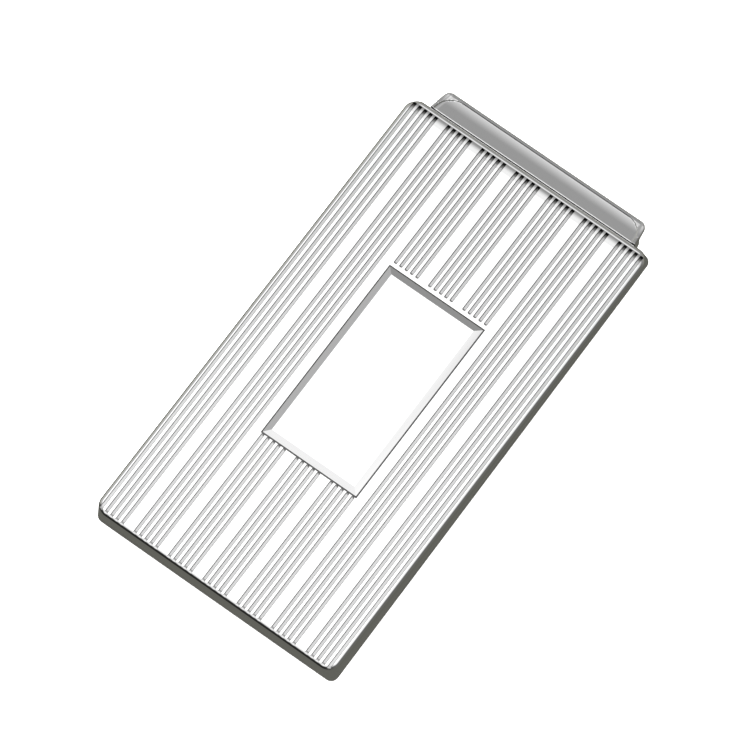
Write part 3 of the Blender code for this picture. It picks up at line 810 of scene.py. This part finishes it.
# %% [markdown]
# Two ears stand on the blade's heel and turn on the pin. On the real arm they are bent up from the
# sheet. Here each is a ring of faces between a pin hole and its outline, made by pressing the lower
# half of a circle down into a foot, bridging it to the hole, and giving it the sheet's thickness.

# %% Stand the ears on the blade
EAR_RADIUS = 1.15 * MM
EAR_THICKNESS = 0.8 * MM
EAR_FOOT = 1.84 * MM
PIN_HOLE = 0.5 * MM
EAR_STEPS = 32
EAR_ROUND = 0.1 * MM
EAR_FOOT_Z = ARM_THICKNESS / 2 - PIVOT.z
SHARP_ANGLE = 1.0


def ear_at(x):
    """An ear about the pin, from x towards plus x by its thickness, with its foot inside the heel."""
    bm = bmesh.new()
    upright = Matrix.Rotation(math.pi / 2, 4, "Y")
    circles = [
        bmesh.ops.create_circle(bm, segments=EAR_STEPS, radius=radius, matrix=upright)["verts"]
        for radius in (EAR_RADIUS, PIN_HOLE)
    ]
    loops = list(bm.edges)
    for vert in circles[0]:
        if vert.co.z < 0:
            vert.co.y *= EAR_FOOT / EAR_RADIUS
            vert.co.z = EAR_FOOT_Z
    bmesh.ops.bridge_loops(bm, edges=loops)
    pulled = bmesh.ops.extrude_face_region(bm, geom=bm.faces[:])
    moved = [item for item in pulled["geom"] if isinstance(item, bmesh.types.BMVert)]
    bmesh.ops.translate(bm, vec=ALONG_X * EAR_THICKNESS, verts=moved)
    bmesh.ops.translate(bm, vec=PIVOT + ALONG_X * x, verts=bm.verts)
    bmesh.ops.recalc_face_normals(bm, faces=bm.faces)
    between = (EAR_RADIUS + PIN_HOLE) / 2
    outer = [
        e for e in bm.edges
        if e.calc_face_angle(0.0) > SHARP_ANGLE
        and all(math.hypot(v.co.y - PIVOT.y, v.co.z - PIVOT.z) > between for v in e.verts)
    ]
    bevel(bm, outer, EAR_ROUND, 3)
    return bm


def join_in(bm, other):
    """Adds the other bmesh's closed shell to this one."""
    mesh = bpy.data.meshes.new("joined")
    other.to_mesh(mesh)
    other.free()
    bm.from_mesh(mesh)
    bpy.data.meshes.remove(mesh)


for x in (-ARM_HALF, ARM_HALF - EAR_THICKNESS):
    join_in(arm_bm, ear_at(x))
finish_piece("sprung_arm_blade", arm_bm, plate_finish, "sprung_arm", ["clip_arm"])

# %% [markdown]
# ## Finishes of the works
# The parts inside are not polished. Rolled sheet keeps a fine lengthwise grain, drawn wire and rod
# have grain along them, and turned brass shows rings from the lathe. All three use stretched noise
# in the roughness and in the bump, and a slow second noise for the dull patches of handling.

# %% Grained metal
PATCH_SCALE = (180.0, 180.0, 180.0)
PATCH_SHADES = (0.86, 1.0)
DULL_SHARE = 0.7


def grained_metal(name, colour, grain_scale, roughness, lift):
    material, tree, shader = start_metal(name, colour)
    grain = noise_at(tree, grain_scale, 4.0)
    patches = noise_at(tree, PATCH_SCALE)
    shade = ramp(tree, patches, *NOISE_MIDDLE, *PATCH_SHADES, "LINEAR")
    dull = [DULL_SHARE * part for part in colour]
    tint = blend_colours(tree, shade, (*dull, 1.0), (*colour, 1.0))
    tree.links.new(tint, shader.inputs["Base Color"])
    rough = ramp(tree, grain, *NOISE_MIDDLE, *roughness, "LINEAR")
    tree.links.new(rough, shader.inputs["Roughness"])
    tilt_surface(tree, shader, grain, lift)
    return material


satin_sheet = grained_metal("satin_sheet", (0.78, 0.78, 0.79), (16000.0, 500.0, 16000.0), (0.22, 0.36), 4e-6)
drawn_steel = grained_metal("drawn_steel", (0.60, 0.60, 0.62), (900.0, 9000.0, 9000.0), (0.16, 0.30), 2e-6)
turned_brass = grained_metal("turned_brass", (0.80, 0.62, 0.32), (12000.0, 700.0, 700.0), (0.18, 0.32), 2e-6)
for node in ("liner_plate", "hinge_bracket"):
    sheet_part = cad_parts[node]
    for place in sheet_part.material_slots:
        place.material = satin_sheet
print("finishes:", satin_sheet.name, drawn_steel.name, turned_brass.name)

# %% [markdown]
# ## Turned parts
# Pin, retaining ring, sleeve, washers and rivets are lathe work, so each is half of its section spun
# about its own axis, with its corners broken by a small bevel. A closed section leaves a bore.

# %% Helper for turned parts
TURN_STEPS = 48
CORNER_ANGLE = 0.6
BROKEN_EDGE = 0.03 * MM


def turned(section, centre, axis, broken=BROKEN_EDGE):
    """Spins (along, radius) about an axis through centre, and breaks its corners."""
    side = UP if axis.x else ALONG_X
    bm = bmesh.new()
    verts = [bm.verts.new(centre + axis * along + side * radius) for along, radius in section]
    edges = [bm.edges.new(pair) for pair in zip(verts, verts[1:])]
    if section[0][1] > 0:
        edges.append(bm.edges.new((verts[-1], verts[0])))
    bmesh.ops.spin(
        bm, geom=verts + edges, cent=centre, axis=axis, angle=math.tau, steps=TURN_STEPS, use_merge=True
    )
    bmesh.ops.remove_doubles(bm, verts=bm.verts, dist=TINY)
    bmesh.ops.recalc_face_normals(bm, faces=bm.faces)
    bevel(bm, [e for e in bm.edges if e.calc_face_angle(0.0) > CORNER_ANGLE], broken, 2)
    return bm


# %% Turn the parts on the pin
PIN_RADIUS = 0.45 * MM
HEAD_CROWN = 0.06 * MM
CROWN_SHARE = 0.8
RING_BROKEN_EDGE = 0.04 * MM

pin_end = pin_high.x
head_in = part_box("pin_retainer")[0].x
head_radius = (pin_high.z - pin_low.z) / 2
section = [
    (-pin_end, 0), (-pin_end, CROWN_SHARE * head_radius), (HEAD_CROWN - pin_end, head_radius),
    (-head_in, head_radius), (-head_in, PIN_RADIUS), (pin_end, PIN_RADIUS), (pin_end, 0),
]
finish_piece(
    "rod_with_head", turned(section, PIVOT, ALONG_X), drawn_steel, "cover_assembly",
    ["hinge_pin"],
)
ring_parts = (
    ("retaining_ring", "pin_retainer", drawn_steel, "spring_steel"),
    ("brass_sleeve", "hinge_sleeve", turned_brass, "hinge_brass"),
    ("brass_washer_left", "thrust_washer_left", turned_brass, "hinge_brass"),
    ("brass_washer_right", "thrust_washer_right", turned_brass, "hinge_brass"),
)
for name, node, finish, slot_name in ring_parts:
    low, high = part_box(node)
    outer = (high.z - low.z) / 2
    section = [(low.x, PIN_HOLE), (low.x, outer), (high.x, outer), (high.x, PIN_HOLE)]
    ring_bm = turned(section, PIVOT, ALONG_X, RING_BROKEN_EDGE)
    finish_piece(name, ring_bm, finish, "cover_assembly", [node])

# %% [markdown]
# The four rivets of the liner have countersunk heads that finish flush with it, and the two of the
# bracket have low flat heads. Only the head's section differs, so one function adds the shank.

# %% Turn the rivets
HEAD_RADIUS = 1.0 * MM
SHANK_RADIUS = 0.5 * MM
HEAD_DEPTH = 0.22 * MM
FLAT_SHARE = 0.7
FLAT_CROWN = 0.1 * MM
FLUSH_HEAD = [(0.0, 0.0), (0.0, HEAD_RADIUS), (HEAD_DEPTH, SHANK_RADIUS)]
FLAT_HEAD = [
    (0.0, 0.0), (0.0, FLAT_SHARE * HEAD_RADIUS), (FLAT_CROWN, HEAD_RADIUS), (HEAD_DEPTH, HEAD_RADIUS),
    (HEAD_DEPTH, SHANK_RADIUS),
]


def finish_rivet(name, node, head):
    """A rivet from its head's section, as (height, radius) from its foot up, with a plain shank."""
    low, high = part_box(node)
    foot_centre = Vector(((low.x + high.x) / 2, (low.y + high.y) / 2, low.z))
    shank = [(high.z - low.z, SHANK_RADIUS), (high.z - low.z, 0.0)]
    rivet_bm = turned(head + shank, foot_centre, UP)
    finish_piece(name, rivet_bm, drawn_steel, "cover_assembly", [node])


for row in ("free", "hinge"):
    for side in ("left", "right"):
        finish_rivet(f"flush_rivet_{row}_{side}", f"liner_rivet_{row}_{side}", FLUSH_HEAD)
for side in ("left", "right"):
    finish_rivet(f"flat_rivet_{side}", f"bracket_rivet_{side}", FLAT_HEAD)

# %% [markdown]
# ## Torsion springs
# Each spring is a wire wound round the pin, with one leg held under the liner and one pressing on
# the heel. A circle of wire is pulled along the fixed leg, spun about the pin while it moves
# sideways, and pulled out again.

# %% Wind the springs
WIRE_RADIUS = 0.2 * MM
COIL_RADIUS = 0.75 * MM
COIL_TURNS = 6
COIL_PITCH = 0.46 * MM
COIL_START_X = 7.8 * MM
HEEL_LEG = 1.9 * MM
FIXED_LEG = Vector((0.0, 4.4, 0.74)) * MM
WIRE_SIDES = 12
STEPS_PER_TURN = 24


def pull(bm, edges, along):
    """Pulls a ring of edges out into a tube and returns its far ring."""
    pulled = bmesh.ops.extrude_edge_only(bm, edges=edges)
    verts = [item for item in pulled["geom"] if isinstance(item, bmesh.types.BMVert)]
    bmesh.ops.translate(bm, vec=along, verts=verts)
    return [item for item in pulled["geom"] if isinstance(item, bmesh.types.BMEdge)
            and all(vert in verts for vert in item.verts)]


def wound_spring(sign):
    lean = math.atan2(FIXED_LEG.z, FIXED_LEG.y)
    start = lean - math.acos(COIL_RADIUS / FIXED_LEG.length)
    sweep = math.pi / 2 + math.tau * COIL_TURNS + start
    coil_start = Vector((0.0, math.cos(start), math.sin(start))) * COIL_RADIUS
    leg = coil_start - FIXED_LEG
    bm = bmesh.new()
    place = Matrix.Translation(PIVOT + FIXED_LEG + ALONG_X * COIL_START_X)
    turn_to_leg = leg.to_track_quat("Z", "X").to_matrix().to_4x4()
    made = bmesh.ops.create_circle(bm, segments=WIRE_SIDES, radius=WIRE_RADIUS, matrix=place @ turn_to_leg)
    first = list({edge for vert in made["verts"] for edge in vert.link_edges})
    ring = pull(bm, first, leg)
    steps = STEPS_PER_TURN * COIL_TURNS
    wound = bmesh.ops.spin(
        bm, geom=ring + list({vert for edge in ring for vert in edge.verts}), cent=PIVOT, axis=ALONG_X,
        dvec=ALONG_X * (COIL_PITCH * COIL_TURNS / steps), angle=-sweep, steps=steps,
    )
    ring = [item for item in wound["geom_last"] if isinstance(item, bmesh.types.BMEdge)]
    last = pull(bm, ring, Vector((0.0, -HEEL_LEG, 0.0)))
    for loop in (first, last):
        bmesh.ops.contextual_create(bm, geom=loop)
    bmesh.ops.scale(bm, vec=(sign, 1.0, 1.0), verts=bm.verts)
    bmesh.ops.recalc_face_normals(bm, faces=bm.faces)
    return bm


print("each coil is", round(COIL_PITCH * COIL_TURNS / MM, 2), "mm long")

# %% [markdown]
# On the real clip a spring is held by both bodies. Here each spring is left in place between them
# on neither body, with its placement baked into its points.

# %% Hang the springs between cover and arm
SPRING_SHARP_DEGREES = 50.0

for side, sign in (("left", -1), ("right", 1)):
    spring = finish_piece(
        f"wound_spring_{side}", wound_spring(sign), drawn_steel, None,
        [f"torsion_spring_{side}"], SPRING_SHARP_DEGREES,
    )
    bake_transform(spring)
